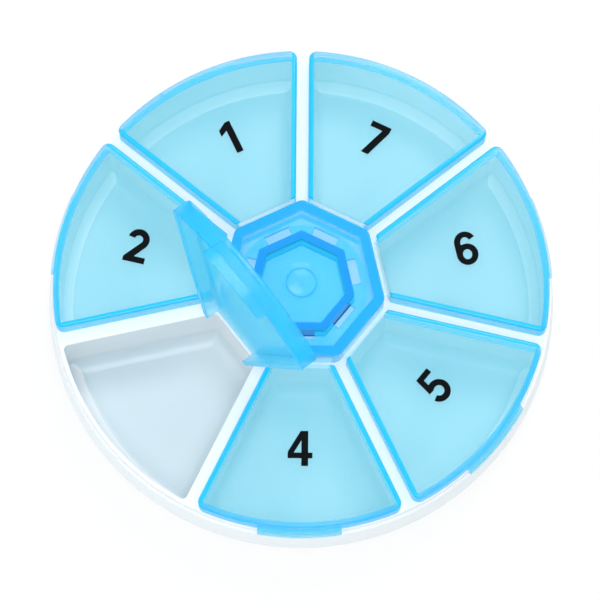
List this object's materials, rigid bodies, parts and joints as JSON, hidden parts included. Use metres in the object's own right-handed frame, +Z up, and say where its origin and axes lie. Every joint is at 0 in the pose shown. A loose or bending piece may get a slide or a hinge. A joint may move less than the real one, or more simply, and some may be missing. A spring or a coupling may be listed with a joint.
{
  "type": "weekly pill box",
  "caption": "Round weekly pill box with a white tray of pie-shaped compartments, a faceted centre hub and translucent blue lids on living hinges, each with a thumb tab.",
  "frame": {"origin": "middle of the underside, on the surface that the box stands on", "axes": "+Z up through the hub; +Y towards the rib between lid 7 and lid 1; lids count anticlockwise seen from above"},
  "size_m": [0.093, 0.093, 0.0489],
  "materials": {
    "white_plastic": "moulded opaque white polypropylene, satin",
    "blue_plastic": "moulded translucent sky-blue polypropylene, glossy"
  },
  "bodies": {
    "base": {"tray": "white_plastic", "hub": "blue_plastic", "hinge_film_1": "blue_plastic", "hinge_film_2": "blue_plastic", "hinge_film_3": "blue_plastic", "hinge_film_4": "blue_plastic", "hinge_film_5": "blue_plastic", "hinge_film_6": "blue_plastic", "hinge_film_7": "blue_plastic"},
    "lid_1": {"lid_1": "blue_plastic"},
    "lid_2": {"lid_2": "blue_plastic"},
    "lid_3": {"lid_3": "blue_plastic"},
    "lid_4": {"lid_4": "blue_plastic"},
    "lid_5": {"lid_5": "blue_plastic"},
    "lid_6": {"lid_6": "blue_plastic"},
    "lid_7": {"lid_7": "blue_plastic"}
  },
  "joints": [
    {"name": "lid_1_hinge", "type": "hinge", "parent": "base", "child": "lid_1", "pos_m": [-0.00633, 0.01315, 0.01723], "axis": [-0.901, -0.4339, 0], "range_deg": [-85, 0], "deforming": ["hinge_film_1"]},
    {"name": "lid_2_hinge", "type": "hinge", "parent": "base", "child": "lid_2", "pos_m": [-0.01423, 0.00325, 0.01723], "axis": [0.2225, 0.9749, 0], "range_deg": [0, 55], "deforming": ["hinge_film_2"]},
    {"name": "lid_3_hinge", "type": "hinge", "parent": "base", "child": "lid_3", "pos_m": [-0.01141, -0.0091, 0.01723], "axis": [-0.6235, 0.7818, 0], "range_deg": [-98, 0], "deforming": ["hinge_film_3"]},
    {"name": "lid_4_hinge", "type": "hinge", "parent": "base", "child": "lid_4", "pos_m": [0, -0.0146, 0.01723], "axis": [1, 0, 0], "range_deg": [-55, 0], "deforming": ["hinge_film_4"]},
    {"name": "lid_5_hinge", "type": "hinge", "parent": "base", "child": "lid_5", "pos_m": [0.01141, -0.0091, 0.01723], "axis": [-0.6235, -0.7818, 0], "range_deg": [0, 85], "deforming": ["hinge_film_5"]},
    {"name": "lid_6_hinge", "type": "hinge", "parent": "base", "child": "lid_6", "pos_m": [0.01423, 0.00325, 0.01723], "axis": [-0.2225, 0.9749, 0], "range_deg": [-98, 0], "deforming": ["hinge_film_6"]},
    {"name": "lid_7_hinge", "type": "hinge", "parent": "base", "child": "lid_7", "pos_m": [0.00633, 0.01315, 0.01723], "axis": [0.901, -0.4339, 0], "range_deg": [0, 98], "deforming": ["hinge_film_7"]}
  ]
}
